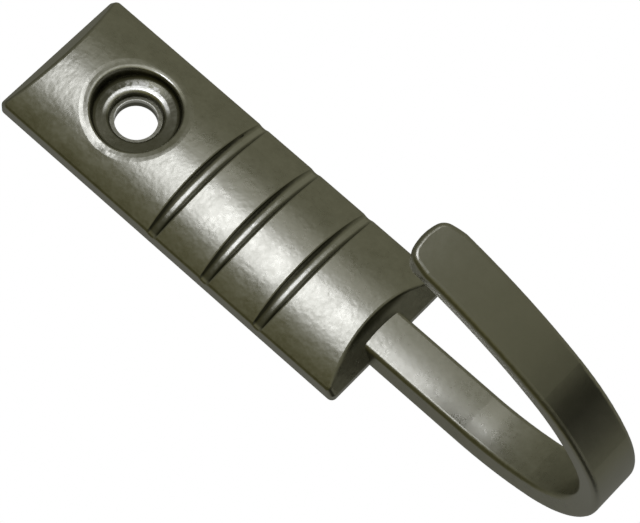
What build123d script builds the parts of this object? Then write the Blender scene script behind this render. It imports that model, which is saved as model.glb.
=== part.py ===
from build123d import *
from math import cos, radians
import os

# Curtain holdback cast in one piece: a wall plate with an arched face and a flat bar hook.
# Millimetres. The flat back lies on the plane Y = 0, the wall, and the arched face looks
# towards -Y. +Z points up the plate, from the hook end to the screw hole end. The origin is
# the middle of the plate's back.

# plate
plate_width = 16.0
plate_length = 44.0
crown_height = 4.1
side_height = 1.7
end_band = 1.0
hook_end_setback = 2.3
hole_end_setback = 1.85
corner_radius = 0.6
face_edge_radius = 0.45

# grooves across the arched face
groove_first_z = 1.7
groove_pitch = 6.87
groove_count = 3
groove_cutter_radius = 0.76
groove_depth_crown = 0.58
groove_depth_side = 0.28
groove_lip_radius = 0.25

# screw hole, in a recess with a dished floor for the screw's head
hole_z = 11.25
hole_radius = 2.15
hole_land_length = 1.3
hole_top_radius = 2.6
hole_mouth_rounding = 0.4
recess_dish_height = 1.95
recess_floor_height = 2.25
recess_floor_radius = 4.3
recess_floor_rounding = 0.5
recess_rim_radius = 4.62
recess_rim_rounding = 0.22
recess_roll_width = 0.8
recess_roll_drop = 0.16
recess_roll_rounding = 2.0

# hook bar
bar_width = 5.9
bar_inner_width = 5.0
bar_inner_crown = 0.18
bar_thickness = 2.7
bar_edge_radius = 0.55
bar_root_inside = 4.0
root_run = 11.1
root_arc_radius = 23.0
root_arc_turn = 21.0
curl_radius = 8.75
curl_turn = 104.0
rise_radius = 18.4
rise_turn = 26.4
arm_radius = 46.0
arm_turn = 25.0

# rounded end of the hook
tip_below_plate = 0.8
tip_side_radius = 11.0
tip_side_turn = 16.0
tip_corner_radius = 1.45
tip_corner_turn = 58.0

half_width = plate_width / 2
half_length = plate_length / 2
plate_bottom = -half_length
plate_top = half_length


def arc_radius(half_chord, rise):
    """Radius of an arc from half its chord and its rise."""
    return (half_chord**2 + rise**2) / (2 * rise)


def bend_bar():
    """Flat bar, flush with the wall at its root, that bends forward and curls back up."""
    start_z = plate_bottom + bar_root_inside
    middle_y = -bar_thickness / 2
    with BuildLine() as side_view:
        run = Line((middle_y, start_z), (middle_y, plate_bottom - root_run))
        root_arc = JernArc(run @ 1, run % 1, root_arc_radius, -root_arc_turn)
        curl = JernArc(root_arc @ 1, root_arc % 1, curl_radius, -curl_turn)
        rise = JernArc(curl @ 1, curl % 1, rise_radius, -rise_turn)
        JernArc(rise @ 1, rise % 1, arm_radius, -arm_turn)
    root = Plane(origin=(0, middle_y, start_z), x_dir=(1, 0, 0), z_dir=(0, 0, -1))
    with BuildSketch(root) as section:
        with BuildLine():
            Polyline(
                (-bar_inner_width / 2, bar_thickness / 2 - bar_inner_crown),
                (-bar_width / 2, -bar_thickness / 2),
                (bar_width / 2, -bar_thickness / 2),
                (bar_inner_width / 2, bar_thickness / 2 - bar_inner_crown),
            )
            ThreePointArc(
                (bar_inner_width / 2, bar_thickness / 2 - bar_inner_crown),
                (0, bar_thickness / 2),
                (-bar_inner_width / 2, bar_thickness / 2 - bar_inner_crown),
            )
        make_face()
    sweep(section.sketch, path=Plane.YZ * side_view.line)


def round_tip():
    """Trims the end of the bar to a rounded outline, drawn as seen from the front."""
    tip_z = plate_bottom - tip_below_plate
    lean = tip_side_turn + tip_corner_turn
    side_reach = tip_side_radius * (1 - cos(radians(tip_side_turn)))
    corner_reach = tip_corner_radius * (cos(radians(tip_side_turn)) - cos(radians(lean)))
    top_radius = (bar_width / 2 - side_reach - corner_reach) / cos(radians(lean))
    waste_x = bar_width
    waste_z = tip_z + bar_width
    with BuildSketch() as front_view:
        with BuildLine():
            top = JernArc((0, tip_z), (1, 0), top_radius, lean - 90)
            corner = JernArc(top @ 1, top % 1, tip_corner_radius, -tip_corner_turn)
            side = JernArc(corner @ 1, corner % 1, tip_side_radius, -tip_side_turn)
            mirror(about=Plane.YZ)
            side_z = (side @ 1).Y
            Polyline(
                (bar_width / 2, side_z),
                (waste_x, side_z),
                (waste_x, waste_z),
                (-waste_x, waste_z),
                (-waste_x, side_z),
                (-bar_width / 2, side_z),
            )
        make_face()
    waste = Plane.XZ.offset(curl_radius) * front_view.sketch
    extrude(waste, amount=2 * (curl_radius + rise_radius), mode=Mode.SUBTRACT)


def long_edges(part):
    """Edges that run along the bar and round its tip, without those that cross it."""
    straight = part.edges().filter_by(GeomType.LINE)
    across = [edge for edge in straight if edge.length <= bar_width + 0.01]
    return [edge for edge in part.edges() if edge not in across]


def plate_block():
    """Flat-backed block with an arched face, ends that lean back and rounded corners."""
    with BuildSketch(Plane.XY.offset(plate_bottom)) as arch:
        with BuildLine():
            Polyline(
                (-half_width, -side_height),
                (-half_width, 0),
                (half_width, 0),
                (half_width, -side_height),
            )
            ThreePointArc(
                (half_width, -side_height),
                (0, -crown_height),
                (-half_width, -side_height),
            )
        make_face()
    extrude(arch.sketch, amount=plate_length)
    lean_end(plate_bottom, hook_end_setback, -1)
    lean_end(plate_top, -hole_end_setback, 1)


def corner_edges(part):
    """Edges that stand up from the back at the plate's four corners."""
    near_end = half_length - hook_end_setback
    side = [edge for edge in part.edges() if abs(edge.center().X) > half_width - 0.01]
    ends = [edge for edge in side if abs(edge.center().Z) > near_end]
    return [edge for edge in ends if edge.bounding_box().size.Y > 0.05]


def lean_end(end_z, setback, outward):
    """Cuts one end back above a low upright band."""
    over = 1.0
    grow = 1 + over / (crown_height - end_band)
    high_y = -(crown_height + over)
    with BuildSketch(Plane.YZ.offset(-plate_width)) as wedge:
        with BuildLine():
            Polyline(
                (-end_band, end_z),
                (high_y, end_z + setback * grow),
                (high_y, end_z + outward * over),
                (-end_band, end_z + outward * over),
                close=True,
            )
        make_face()
    extrude(wedge.sketch, amount=2 * plate_width, mode=Mode.SUBTRACT)


def cut_groove(z):
    """Round-bottomed groove across the face, a little deeper at the crown than at the sides."""
    rise = crown_height - side_height - groove_depth_crown + groove_depth_side
    floor_radius = arc_radius(half_width, rise)
    axis_y = floor_radius - (crown_height - groove_depth_crown)
    far_side_y = axis_y + floor_radius + groove_cutter_radius
    with BuildSketch(Plane.YZ) as cutter:
        with Locations((far_side_y, z)):
            Circle(groove_cutter_radius)
    revolve(cutter.sketch, axis=Axis((0, axis_y, 0), (0, 0, 1)), mode=Mode.SUBTRACT)


def cut_recess():
    """Recess with leaning walls and a dished floor, and the screw hole, stepped part way down."""
    above = 1.0
    depth = crown_height - recess_floor_height
    high_radius = recess_rim_radius + above * (recess_rim_radius - recess_floor_radius) / depth
    high_y = -(crown_height + above)
    with BuildSketch(Plane.YZ) as profile:
        with BuildLine():
            Polyline(
                (above, hole_z),
                (above, hole_z - hole_radius),
                (-hole_land_length, hole_z - hole_radius),
                (-hole_land_length, hole_z - hole_top_radius),
                (-recess_dish_height, hole_z - hole_top_radius),
                (-recess_floor_height, hole_z - recess_floor_radius),
                (high_y, hole_z - high_radius),
                (high_y, hole_z),
                close=True,
            )
        make_face()
        mouth = (-recess_dish_height, hole_z - hole_top_radius)
        fillet(profile.vertices().sort_by_distance(mouth)[0], hole_mouth_rounding)
        foot = (-recess_floor_height, hole_z - recess_floor_radius)
        fillet(profile.vertices().sort_by_distance(foot)[0], recess_floor_rounding)
    revolve(profile.sketch, axis=Axis((0, 0, hole_z), (0, 1, 0)), mode=Mode.SUBTRACT)


def ring_edges():
    """Edges that run all the way round the hole, from the shortest to the longest."""
    return edges().filter_by(lambda edge: edge.is_closed).sort_by(SortBy.LENGTH)


def roll_rim():
    """Rolls the arched face softly down to the recess and rounds the top of the recess's wall."""
    wall = faces().filter_by(GeomType.CONE).sort_by(SortBy.AREA)[-1]
    rim = wall.edges().sort_by(SortBy.LENGTH)[-1]
    chamfer(rim, recess_roll_drop, recess_roll_width, reference=wall)
    fillet(ring_edges()[-2], recess_rim_rounding)
    fillet(ring_edges()[-1], recess_roll_rounding)


def groove_lips(part):
    """Long edges where the grooves meet the arched face."""
    grooves = [
        face
        for face in part.faces().filter_by(GeomType.TORUS)
        if face.bounding_box().size.X > plate_width - 0.01
    ]
    return [edge for face in grooves for edge in face.edges() if edge.length > half_width]


with BuildPart() as bar:
    bend_bar()
    round_tip()
    fillet(long_edges(bar.part), bar_edge_radius)

with BuildPart() as holdback:
    plate_block()
    fillet(corner_edges(holdback.part), corner_radius)
    face = faces().filter_by(GeomType.CYLINDER).sort_by(SortBy.AREA)[-1]
    fillet(face.edges(), face_edge_radius)
    add(bar.part)
    for index in range(groove_count):
        cut_groove(groove_first_z - index * groove_pitch)
    fillet(groove_lips(holdback.part), groove_lip_radius)
    cut_recess()
    roll_rim()

holdback.part.label = "holdback"
os.makedirs("parts", exist_ok=True)
export_step(holdback.part, "parts/holdback.step")
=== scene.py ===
import math

import bpy
import numpy as np
from mathutils import Matrix, Vector


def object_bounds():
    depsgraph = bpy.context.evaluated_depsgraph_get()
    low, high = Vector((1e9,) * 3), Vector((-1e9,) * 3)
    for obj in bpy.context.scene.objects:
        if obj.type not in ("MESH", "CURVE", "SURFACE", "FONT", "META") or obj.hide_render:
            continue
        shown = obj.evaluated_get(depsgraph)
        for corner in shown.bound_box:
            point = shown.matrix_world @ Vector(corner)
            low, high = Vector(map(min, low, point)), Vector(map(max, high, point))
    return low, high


# Curtain holdback in satin nickel, seen from low on its left side, in metres.

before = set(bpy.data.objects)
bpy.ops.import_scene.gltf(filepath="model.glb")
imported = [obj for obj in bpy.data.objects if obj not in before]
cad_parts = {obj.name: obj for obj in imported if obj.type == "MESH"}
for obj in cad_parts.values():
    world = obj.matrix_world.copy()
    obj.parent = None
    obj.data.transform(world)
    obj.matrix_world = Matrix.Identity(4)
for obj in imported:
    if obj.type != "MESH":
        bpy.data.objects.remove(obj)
cad_low, cad_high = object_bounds()

MM = 0.001

# The plate's arched face is part of a cylinder about an upright line. It passes through the
# crown and through the tops of the two side walls.
HALF_WIDTH = cad_high[0]
CROWN_HEIGHT = 4.1 * MM
SIDE_HEIGHT = 1.7 * MM
ARCH_RISE = CROWN_HEIGHT - SIDE_HEIGHT
ARCH_RADIUS = (HALF_WIDTH**2 + ARCH_RISE**2) / (2 * ARCH_RISE)
ARCH_AXIS_Y = ARCH_RADIUS - CROWN_HEIGHT

HOLE_Z = 11.25 * MM
FIRST_GROOVE_Z = 1.7 * MM
GROOVE_PITCH = 6.87 * MM

# Camera: the picture's right, its down and its depth as directions of the part, and its place.
VIEW_RIGHT = (0.67414, -0.06524, -0.73572)
VIEW_DOWN = (-0.66029, 0.39316, -0.63988)
VIEW_AHEAD = (0.33100, 0.91715, 0.22197)
VIEW_FROM = (-0.09719, -0.27456, -0.07784)
LENS = 175.25
SENSOR = 36.0
CLIP_START = 0.01
CLIP_END = 10.0


def direction(azimuth, elevation):
    """Unit vector from the part: azimuth 0 is straight out of the wall, 90 is +X."""
    turn = math.radians(azimuth)
    lift = math.radians(elevation)
    level = math.cos(lift)
    return Vector((math.sin(turn) * level, -math.cos(turn) * level, math.sin(lift)))


def mm(start, end):
    """Two ends of a stretch, given in millimetres."""
    return start * MM, end * MM


# The room as the metal sees it: a general level, and headings where it is darker, each with
# the two angles between which it fades and the share of the level that is left.
ROOM_LEVEL = 0.19
ROOM_SHADES = (
    (direction(51.0, -64.5), 13.0, 30.0, 0.0),
    (direction(-90.0, -60.0), 20.0, 50.0, 0.15),
    (direction(-80.0, 10.0), 20.0, 50.0, 0.4),
    (direction(60.0, 90.0), 10.0, 60.0, 0.6),
)

# The room's colour in general, to the part's left and behind the wall. Each of the last two
# has its heading and the two angles between which it fades, as the white behind the hook has.
ROOM_COLOUR = (1.0, 0.99, 0.70, 1.0)
LEFT_COLOUR = (1.0, 0.94, 0.40, 1.0)
LEFT_OF_ROOM = (direction(-75.0, 0.0), 15.0, 60.0)
BACK_COLOUR = (1.0, 1.0, 0.90, 1.0)
BACK_OF_ROOM = (direction(180.0, -10.0), 35.0, 75.0)
WHITE = (1.0, 1.0, 1.0, 1.0)
BEHIND_HOOK = (VIEW_AHEAD, 8.0, 16.0)

LAMP_AIM = (0.0, -0.008, -0.008)
LAMP_DISTANCE = 0.8
LAMP_ELEVATION = 13.5
KEY_COLOUR = (0.894, 0.907, 1.0)
FILL_COLOUR = (1.0, 1.0, 1.0)

FLOOR_SIDE = 0.6
FLOOR_DEPTH = 0.9
FLOOR_COLOUR = (0.85, 0.85, 0.85, 1.0)
FLOOR_ROUGHNESS = 0.9

# Noises of the casting skin: features per metre, octaves of detail, and how strong each finer
# octave is beside the one before it.
DIMPLE_NOISE = (1600.0, 1.2, 0.5)
GRAIN_NOISE = (5200.0, 2.0, 0.6)
PATCH_NOISE = (420.0, 2.0, 0.5)
CLOUD_NOISE = (1900.0, 3.0, 0.65)

# Sum of the patches and the clouds over which the mottle runs from its darkest to its lightest.
MOTTLE_SPAN = (0.75, 1.25)

# Height of one step of the skin's relief, and the share of it that the fine grain takes.
RELIEF_STEP = 0.018 * MM
GRAIN_SHARE = 0.05

# The hook bar has lower dimples than the plate, and a more even tone towards its tip.
BAR_DIMPLES = 0.4
BAR_TOP = mm(-24.0, -21.5)
TIP_TONE = 0.3
TIP_REACH = mm(5.0, 12.0)

DARK_NICKEL = (0.425, 0.42, 0.37, 1.0)
LIGHT_NICKEL = (0.495, 0.49, 0.433, 1.0)
SMOOTHEST = 0.26
ROUGHEST = 0.34

# Where the patina with painted shade and the painted highlights of the arched face begin and end:
# heights along the plate, distance from its middle line and distance out from the wall.
FACE_BOTTOM = mm(-20.5, -20.0)
FACE_TOP = mm(19.8, 20.2)
FACE_SIDE = mm(7.5, 7.8)
OFF_THE_BACK = mm(0.01, 0.04)
ABOVE_GROOVES = mm(4.5, 5.0)
BELOW_GROOVES = mm(-16.0, -15.5)

# Stretches that end in TURN are cosines of the angle round the hole from this heading.
BRIGHT_SIDE = (0.718, 0.0, 0.696)

# Share of the patina and painted shade by distance from a groove's middle, and from the hole's axis,
# in mm.
GROOVE_PATINA_AND_SHADE = ((0.0, 0.0), (0.28, 0.0), (0.46, 0.2), (0.56, 0.5), (0.68, 1.0), (0.9, 1.0))
GROOVE_PATINA_AND_SHADE_DEPTH = mm(0.02, 0.08)
RECESS_PATINA_AND_SHADE = (
    (0.0, 0.85),
    (2.62, 0.85),
    (2.75, 0.95),
    (3.85, 0.95),
    (4.10, 1.0),
    (5.00, 1.0),
)
RECESS_PATINA_AND_SHADE_DEPTH = mm(0.35, 0.8)
RECESS_PATINA_AND_SHADE_TURN = (-0.3, 0.7)
RECESS_PATINA_AND_SHADE_LEAST = 0.75
# Colour of the patina and painted shade in the grooves and the recess.
PATINA_AND_SHADE_COLOUR = (0.13, 0.128, 0.095, 1.0)

# Left ends of the grooves, dark from bank to bank with patina and painted shade: share of it,
# distance to the left of the middle line, distance from a groove's middle and depth.
END_PATINA_AND_SHADE = 0.85
END_LEFT = mm(3.5, 6.5)
END_WIDTH = mm(0.7, 0.9)
END_DEPTH = mm(0.02, 0.12)

# Share of painted highlight, light as bare bright metal, by distance from the hole's axis, in mm: on
# the hole's land, beside its mouth and on the rim of the recess, all on the bright side of the hole.
HIGHLIGHT_RINGS = (
    (0.0, 0.9),
    (2.20, 0.9),
    (2.26, 0.0),
    (2.62, 0.0),
    (2.70, 1.0),
    (3.24, 1.0),
    (3.36, 0.0),
    (4.50, 0.0),
    (4.58, 1.0),
    (4.82, 1.0),
    (4.96, 0.0),
)
HIGHLIGHT_RING_TURN = (0.0, 0.6)
HIGHLIGHT_RING_OUT = mm(0.7, 0.95)
# Colour of the painted highlights.
PAINTED_HIGHLIGHT_COLOUR = (0.95, 0.95, 0.92, 1.0)

# Painted highlight in the beds of the grooves: its share, distance from a groove's middle, distance
# to the left of the middle line and depth.
BED_HIGHLIGHT = 0.25
BED_HIGHLIGHT_WIDTH = mm(0.16, 0.34)
BED_HIGHLIGHT_LEFT = mm(4.0, 6.0)
BED_HIGHLIGHT_DEPTH = mm(0.1, 0.2)

# Painted highlight specks on the recess's floor: their share, the mottle that shows them, where they
# begin and end round the hole's axis, on which side of it they lie, and their depth.
SPECK_HIGHLIGHT = 0.3
SPECK_MOTTLE = (0.5, 0.75)
SPECK_START = mm(3.2, 3.4)
SPECK_END = mm(3.6, 4.0)
SPECK_TURN = (0.5, 0.95)
SPECK_DEPTH = mm(0.8, 1.0)

# Build-up of the finish, in steps of the skin's relief: a bead round the hole's mouth, by distance
# from the hole's axis, and a thick place in each groove's bed, by distance from its middle.
MOUTH_BEAD = 2.0
BEAD_RISE = mm(2.65, 2.95)
BEAD_FALL = mm(3.0, 3.4)
BEAD_TURN = (-0.2, 0.4)
GROOVE_BED = 1.8
BED_WIDTH = mm(0.0, 0.38)
BUILD_UP_OUT = mm(0.8, 1.2)


def place_camera():
    """Long lens, turned about its own axis so that the plate lies from upper left to lower right."""
    data = bpy.data.cameras.new("camera")
    data.sensor_width = SENSOR
    data.lens = LENS
    data.clip_start = CLIP_START
    data.clip_end = CLIP_END
    camera = bpy.data.objects.new("camera", data)
    bpy.context.scene.collection.objects.link(camera)
    turn = Matrix((Vector(VIEW_RIGHT), -Vector(VIEW_DOWN), -Vector(VIEW_AHEAD))).transposed()
    camera.matrix_world = Matrix.Translation(VIEW_FROM) @ turn.to_4x4()
    bpy.context.scene.camera = camera


def new_tree(owner):
    """Empty node tree of a material or a world."""
    owner.use_nodes = True
    owner.node_tree.nodes.clear()
    return owner.node_tree


def group_with(name, inputs, outputs):
    """Empty shader node group, and the sockets that lead into it and out of it."""
    group = bpy.data.node_groups.new(name, "ShaderNodeTree")
    for label, kind in inputs:
        group.interface.new_socket(name=label, in_out="INPUT", socket_type=kind)
    for label in outputs:
        group.interface.new_socket(name=label, in_out="OUTPUT", socket_type="NodeSocketFloat")
    start = group.nodes.new("NodeGroupInput")
    end = group.nodes.new("NodeGroupOutput")
    return group, start.outputs, end.inputs


def calc(tree, operation, *terms, clamp=False):
    """Result of a math node on up to three terms, each a socket or a number."""
    node = tree.nodes.new("ShaderNodeMath")
    node.operation = operation
    node.use_clamp = clamp
    for socket, term in zip(node.inputs, terms):
        if isinstance(term, float):
            socket.default_value = term
        else:
            tree.links.new(term, socket)
    return node.outputs[0]


def product(tree, *factors):
    """Product of two or more values."""
    value = factors[0]
    for factor in factors[1:]:
        value = calc(tree, "MULTIPLY", value, factor)
    return value


def total(tree, *parts):
    """Sum of two or more shares, held at 1."""
    value = parts[0]
    for part in parts[1:]:
        value = calc(tree, "ADD", value, part, clamp=True)
    return value


def vector_calc(tree, operation, vector, constant):
    """Outputs of a vector math node on a vector and a constant one."""
    node = tree.nodes.new("ShaderNodeVectorMath")
    node.operation = operation
    node.inputs[1].default_value = constant
    tree.links.new(vector, node.inputs[0])
    return node.outputs


def ramp(tree, value, stretch, first=0.0, last=1.0, smooth=True):
    """Step of a value from `first` at the start of a stretch to `last` at its end."""
    step = tree.nodes.new("ShaderNodeMapRange")
    step.interpolation_type = "SMOOTHSTEP" if smooth else "LINEAR"
    step.inputs["From Min"].default_value = stretch[0]
    step.inputs["From Max"].default_value = stretch[1]
    step.inputs["To Min"].default_value = first
    step.inputs["To Max"].default_value = last
    tree.links.new(value, step.inputs["Value"])
    return step.outputs["Result"]


def shares(tree, distance, table):
    """Share read from a table of distances in millimetres, even between its rows."""
    curve = tree.nodes.new("ShaderNodeValToRGB")
    stops = curve.color_ramp.elements
    reach = table[-1][0]
    while len(stops) < len(table):
        stops.new(1.0)
    for stop, (at, share) in zip(stops, table):
        stop.position = at / reach
        stop.color = (share, share, share, 1.0)
    tree.links.new(calc(tree, "MULTIPLY", distance, 1.0 / (reach * MM)), curve.inputs["Fac"])
    return curve.outputs["Color"]


def mixed(tree, share, colour, other):
    """A colour turned into another by a share. Each colour is a socket or a constant."""
    mix = tree.nodes.new("ShaderNodeMix")
    mix.data_type = "RGBA"
    tree.links.new(share, mix.inputs["Factor"])
    for label, source in (("A", colour), ("B", other)):
        if isinstance(source, tuple):
            mix.inputs[label].default_value = source
        else:
            tree.links.new(source, mix.inputs[label])
    return mix.outputs["Result"]


def noise(tree, position, scale, detail, roughness):
    """Smooth noise in space, between 0 and 1 and mostly near 0.5."""
    node = tree.nodes.new("ShaderNodeTexNoise")
    node.inputs["Scale"].default_value = scale
    node.inputs["Detail"].default_value = detail
    node.inputs["Roughness"].default_value = roughness
    tree.links.new(position, node.inputs["Vector"])
    return node.outputs["Fac"]


def cast_skin():
    """Tumbled casting skin: low dimples over half a millimetre across, a fine grain, uneven tone.

    Height = dimple noise * Dimples + grain noise * Grain. Mottle = 0.5 + Tone * spread, where
    spread runs from -0.5 to 0.5 as the sum of the patch and cloud noises crosses MOTTLE_SPAN.
    """
    group, start, end = group_with(
        "cast_skin",
        [
            ("Position", "NodeSocketVector"),
            ("Dimples", "NodeSocketFloat"),
            ("Grain", "NodeSocketFloat"),
            ("Tone", "NodeSocketFloat"),
        ],
        ["Height", "Mottle"],
    )
    position = start["Position"]
    deep = calc(group, "MULTIPLY", noise(group, position, *DIMPLE_NOISE), start["Dimples"])
    fine = calc(group, "MULTIPLY", noise(group, position, *GRAIN_NOISE), start["Grain"])
    group.links.new(calc(group, "ADD", deep, fine), end["Height"])
    patches = noise(group, position, *PATCH_NOISE)
    clouds = noise(group, position, *CLOUD_NOISE)
    spread = ramp(group, calc(group, "ADD", patches, clouds), MOTTLE_SPAN, -0.5, 0.5, smooth=False)
    group.links.new(calc(group, "MULTIPLY_ADD", spread, start["Tone"], 0.5), end["Mottle"])
    return group


def from_axis(tree, x, other, middle):
    """Distance from an axis: the root of x squared plus (other - middle) squared."""
    away = calc(tree, "SUBTRACT", other, middle)
    squares = calc(tree, "MULTIPLY_ADD", away, away, calc(tree, "MULTIPLY", x, x))
    return calc(tree, "SQRT", squares)


def low_places():
    """Where a point of the plate lies, for the patina and painted shade in its low places and the
    painted highlights round the hole.

    The arched face is a cylinder about the line x = 0, y = ARCH_AXIS_Y of radius ARCH_RADIUS:
    Depth = ARCH_RADIUS - sqrt(x^2 + (y - ARCH_AXIS_Y)^2) is the depth below that face.
    Radius = sqrt(x^2 + (z - HOLE_Z)^2) is the distance from the hole's axis, Side = |x|,
    Left = -x, Height = z, and Out = -y is the distance from the wall. Groove is the distance
    along z from the middle of the nearest groove, and Upper the cosine of the angle round the
    hole from its bright side.
    """
    group, start, end = group_with(
        "low_places",
        [("Position", "NodeSocketVector")],
        ["Depth", "Radius", "Side", "Left", "Height", "Groove", "Upper", "Out"],
    )
    place = group.nodes.new("ShaderNodeSeparateXYZ")
    group.links.new(start["Position"], place.inputs["Vector"])
    x, y, z = place.outputs
    radius = from_axis(group, x, z, HOLE_Z)
    from_hole = vector_calc(group, "SUBTRACT", start["Position"], (0.0, 0.0, HOLE_Z))["Vector"]
    upper = vector_calc(group, "DOT_PRODUCT", from_hole, BRIGHT_SIDE)["Value"]
    above = calc(group, "SUBTRACT", z, FIRST_GROOVE_Z)
    nearest = calc(group, "WRAP", above, GROOVE_PITCH / 2, -GROOVE_PITCH / 2)
    results = {
        "Depth": calc(group, "SUBTRACT", ARCH_RADIUS, from_axis(group, x, y, ARCH_AXIS_Y)),
        "Radius": radius,
        "Side": calc(group, "ABSOLUTE", x),
        "Left": calc(group, "MULTIPLY", x, -1.0),
        "Height": z,
        "Groove": calc(group, "ABSOLUTE", nearest),
        "Upper": calc(group, "DIVIDE", upper, radius),
        "Out": calc(group, "MULTIPLY", y, -1.0),
    }
    for label, result in results.items():
        group.links.new(result, end[label])
    return group


def built_up(tree, where, skin_height):
    """Skin's relief with a bead on the hole's mouth and a thick place in each groove's bed."""
    bead = product(
        tree,
        ramp(tree, where["Radius"], BEAD_RISE, 0.0, MOUTH_BEAD),
        ramp(tree, where["Radius"], BEAD_FALL, 1.0, 0.0),
        ramp(tree, where["Upper"], BEAD_TURN),
        ramp(tree, where["Out"], BUILD_UP_OUT),
    )
    bed = product(
        tree,
        ramp(tree, where["Groove"], BED_WIDTH, GROOVE_BED, 0.0),
        ramp(tree, where["Height"], ABOVE_GROOVES, 1.0, 0.0),
        ramp(tree, where["Height"], BELOW_GROOVES),
        ramp(tree, where["Out"], BUILD_UP_OUT),
    )
    return calc(tree, "ADD", calc(tree, "ADD", skin_height, bead), bed)


def arched_face(tree, where):
    """Mask of the arched face with its recess and grooves, without the ends, sides and back."""
    return product(
        tree,
        ramp(tree, where["Height"], FACE_BOTTOM),
        ramp(tree, where["Height"], FACE_TOP, 1.0, 0.0),
        ramp(tree, where["Side"], FACE_SIDE, 1.0, 0.0),
        ramp(tree, where["Out"], OFF_THE_BACK),
    )


def patina_and_painted_shade(tree, where, face):
    """Share of the patina and painted shade: on the grooves' banks and left ends, and in the recess.
    """
    banks = product(
        tree,
        shares(tree, where["Groove"], GROOVE_PATINA_AND_SHADE),
        ramp(tree, where["Depth"], GROOVE_PATINA_AND_SHADE_DEPTH),
        ramp(tree, where["Height"], ABOVE_GROOVES, 1.0, 0.0),
    )
    left_ends = product(
        tree,
        ramp(tree, where["Left"], END_LEFT, 0.0, END_PATINA_AND_SHADE),
        ramp(tree, where["Groove"], END_WIDTH, 1.0, 0.0),
        ramp(tree, where["Depth"], END_DEPTH),
        ramp(tree, where["Height"], ABOVE_GROOVES, 1.0, 0.0),
    )
    recess = product(
        tree,
        shares(tree, where["Radius"], RECESS_PATINA_AND_SHADE),
        ramp(tree, where["Depth"], RECESS_PATINA_AND_SHADE_DEPTH),
        ramp(tree, where["Upper"], RECESS_PATINA_AND_SHADE_TURN, RECESS_PATINA_AND_SHADE_LEAST, 1.0),
    )
    return product(tree, total(tree, banks, left_ends, recess), face)


def painted_highlights(tree, where, mottle, face):
    """Share of painted highlight, light as bare metal: rings round the hole, the grooves' beds,
    specks on the recess's floor.
    """
    rings = product(
        tree,
        shares(tree, where["Radius"], HIGHLIGHT_RINGS),
        ramp(tree, where["Upper"], HIGHLIGHT_RING_TURN),
        ramp(tree, where["Out"], HIGHLIGHT_RING_OUT),
        face,
    )
    beds = product(
        tree,
        ramp(tree, where["Groove"], BED_HIGHLIGHT_WIDTH, BED_HIGHLIGHT, 0.0),
        ramp(tree, where["Left"], BED_HIGHLIGHT_LEFT, 1.0, 0.0),
        ramp(tree, where["Depth"], BED_HIGHLIGHT_DEPTH),
        ramp(tree, where["Height"], ABOVE_GROOVES, 1.0, 0.0),
        face,
    )
    specks = product(
        tree,
        ramp(tree, mottle, SPECK_MOTTLE, 0.0, SPECK_HIGHLIGHT),
        ramp(tree, where["Radius"], SPECK_START),
        ramp(tree, where["Radius"], SPECK_END, 1.0, 0.0),
        ramp(tree, where["Upper"], SPECK_TURN),
        ramp(tree, where["Depth"], SPECK_DEPTH),
        face,
    )
    return total(tree, rings, beds, specks)


def satin_nickel(skin, hollows):
    """Warm grey satin nickel, with patina and painted shade in the plate's low places and painted
    highlights, light as bare metal, in a few spots.
    """
    material = bpy.data.materials.new("satin_nickel_plate")
    tree = new_tree(material)
    metal = tree.nodes.new("ShaderNodeBsdfPrincipled")
    metal.inputs["Metallic"].default_value = 1.0
    position = tree.nodes.new("ShaderNodeTexCoord").outputs["Object"]
    low = tree.nodes.new("ShaderNodeGroup")
    low.node_tree = hollows
    tree.links.new(position, low.inputs["Position"])
    where = low.outputs
    cast = tree.nodes.new("ShaderNodeGroup")
    cast.node_tree = skin
    cast.inputs["Grain"].default_value = GRAIN_SHARE
    tree.links.new(position, cast.inputs["Position"])
    tree.links.new(ramp(tree, where["Height"], BAR_TOP, BAR_DIMPLES, 1.0), cast.inputs["Dimples"])
    tree.links.new(ramp(tree, where["Out"], TIP_REACH, 1.0, TIP_TONE), cast.inputs["Tone"])
    mottle = cast.outputs["Mottle"]
    bump = tree.nodes.new("ShaderNodeBump")
    bump.inputs["Strength"].default_value = 1.0
    bump.inputs["Distance"].default_value = RELIEF_STEP
    tree.links.new(built_up(tree, where, cast.outputs["Height"]), bump.inputs["Height"])
    tree.links.new(bump.outputs["Normal"], metal.inputs["Normal"])
    face = arched_face(tree, where)
    nickel = mixed(tree, mottle, DARK_NICKEL, LIGHT_NICKEL)
    # Patina and painted shade in the grooves and the recess.
    aged_and_shaded = mixed(tree, patina_and_painted_shade(tree, where, face), nickel, PATINA_AND_SHADE_COLOUR)
    # Painted highlights round the hole and in the grooves' beds.
    with_highlights = mixed(tree, painted_highlights(tree, where, mottle, face), aged_and_shaded, PAINTED_HIGHLIGHT_COLOUR)
    tree.links.new(with_highlights, metal.inputs["Base Color"])
    rough = ramp(tree, mottle, (0.0, 1.0), SMOOTHEST, ROUGHEST, smooth=False)
    tree.links.new(rough, metal.inputs["Roughness"])
    out = tree.nodes.new("ShaderNodeOutputMaterial")
    tree.links.new(metal.outputs["BSDF"], out.inputs["Surface"])
    return material


def facing(tree, outward, heading, inner, outer):
    """Mask over the room: 1 within `inner` degrees of a heading, fading to 0 at `outer` degrees."""
    cosine = vector_calc(tree, "DOT_PRODUCT", outward, heading)["Value"]
    return ramp(tree, cosine, (math.cos(math.radians(outer)), math.cos(math.radians(inner))))


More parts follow.
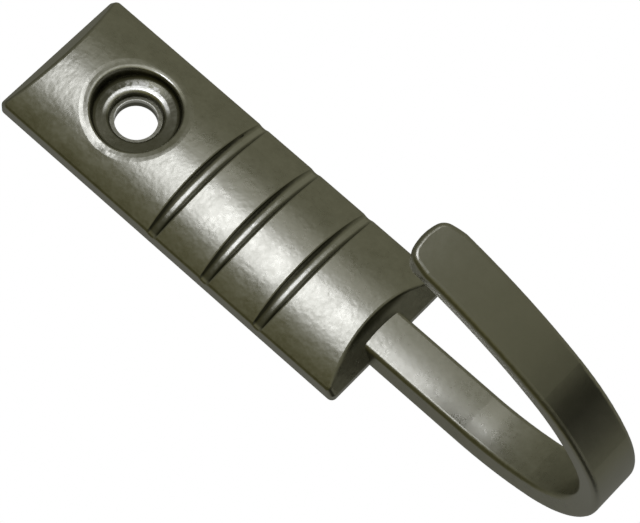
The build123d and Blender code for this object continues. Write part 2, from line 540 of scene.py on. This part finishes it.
def light_room():
    """White ground for the eye; for the metal a dim room with that ground behind the hook."""
    world = bpy.data.worlds.new("room")
    bpy.context.scene.world = world
    tree = new_tree(world)
    outward = tree.nodes.new("ShaderNodeTexCoord").outputs["Generated"]
    ray = tree.nodes.new("ShaderNodeLightPath").outputs
    ground = tree.nodes.new("ShaderNodeBackground")
    ground.inputs["Color"].default_value = WHITE
    room = tree.nodes.new("ShaderNodeBackground")
    left = mixed(tree, facing(tree, outward, *LEFT_OF_ROOM), ROOM_COLOUR, LEFT_COLOUR)
    back = mixed(tree, facing(tree, outward, *BACK_OF_ROOM), left, BACK_COLOUR)
    tree.links.new(back, room.inputs["Color"])
    level = ROOM_LEVEL
    for heading, inner, outer, kept in ROOM_SHADES:
        mask = facing(tree, outward, heading, inner, outer)
        dimmed = ramp(tree, mask, (0.0, 1.0), 1.0, kept, smooth=False)
        level = calc(tree, "MULTIPLY", level, dimmed)
    tree.links.new(level, room.inputs["Strength"])
    shine = calc(tree, "MULTIPLY", ray["Is Glossy Ray"], facing(tree, outward, *BEHIND_HOOK))
    seen = calc(tree, "MAXIMUM", ray["Is Camera Ray"], ray["Is Transmission Ray"])
    both = tree.nodes.new("ShaderNodeMixShader")
    tree.links.new(calc(tree, "MAXIMUM", seen, shine), both.inputs["Fac"])
    tree.links.new(room.outputs[0], both.inputs[1])
    tree.links.new(ground.outputs[0], both.inputs[2])
    out = tree.nodes.new("ShaderNodeOutputWorld")
    tree.links.new(both.outputs[0], out.inputs["Surface"])


def soft_lamp(name, azimuth, width, height, power, colour):
    """Soft box that faces the middle of the part, with its width level."""
    data = bpy.data.lights.new(name, "AREA")
    data.shape = "RECTANGLE"
    data.size = width
    data.size_y = height
    data.energy = power
    data.color = colour
    lamp = bpy.data.objects.new(name, data)
    bpy.context.scene.collection.objects.link(lamp)
    aim = direction(azimuth, LAMP_ELEVATION)
    lamp.location = Vector(LAMP_AIM) + aim * LAMP_DISTANCE
    lamp.rotation_mode = "QUATERNION"
    lamp.rotation_quaternion = (-aim).to_track_quat("-Z", "Y")


def lay_floor():
    """Pale floor a good way below the wall-hung part.

    A level square: its corners lie half of FLOOR_SIDE either way from the origin in X and in Y,
    and FLOOR_DEPTH below it.
    """
    across = np.array([-1.0, 1.0, 1.0, -1.0]) * FLOOR_SIDE / 2
    back_and_forth = np.array([-1.0, -1.0, 1.0, 1.0]) * FLOOR_SIDE / 2
    corners = np.column_stack((across, back_and_forth, np.full(4, -FLOOR_DEPTH)))
    mesh = bpy.data.meshes.new("floor")
    mesh.from_pydata(corners.tolist(), [], [(0, 1, 2, 3)])
    floor = bpy.data.objects.new("floor", mesh)
    bpy.context.scene.collection.objects.link(floor)
    paint = bpy.data.materials.new("pale_floor")
    tree = new_tree(paint)
    matt = tree.nodes.new("ShaderNodeBsdfPrincipled")
    matt.inputs["Base Color"].default_value = FLOOR_COLOUR
    matt.inputs["Roughness"].default_value = FLOOR_ROUGHNESS
    matt.inputs["Emission Color"].default_value = FLOOR_COLOUR
    ray = tree.nodes.new("ShaderNodeLightPath").outputs
    tree.links.new(ray["Is Camera Ray"], matt.inputs["Emission Strength"])
    out = tree.nodes.new("ShaderNodeOutputMaterial")
    tree.links.new(matt.outputs["BSDF"], out.inputs["Surface"])
    mesh.materials.append(paint)


bpy.context.scene.view_settings.view_transform = "Standard"
place_camera()
light_room()
soft_lamp("key", azimuth=-1.5, width=0.42, height=0.12, power=0.832, colour=KEY_COLOUR)
soft_lamp("side_fill", azimuth=27.0, width=0.28, height=0.10, power=0.065, colour=FILL_COLOUR)
lay_floor()

finish = satin_nickel(cast_skin(), low_places())
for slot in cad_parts["holdback"].material_slots:
    slot.material = finish
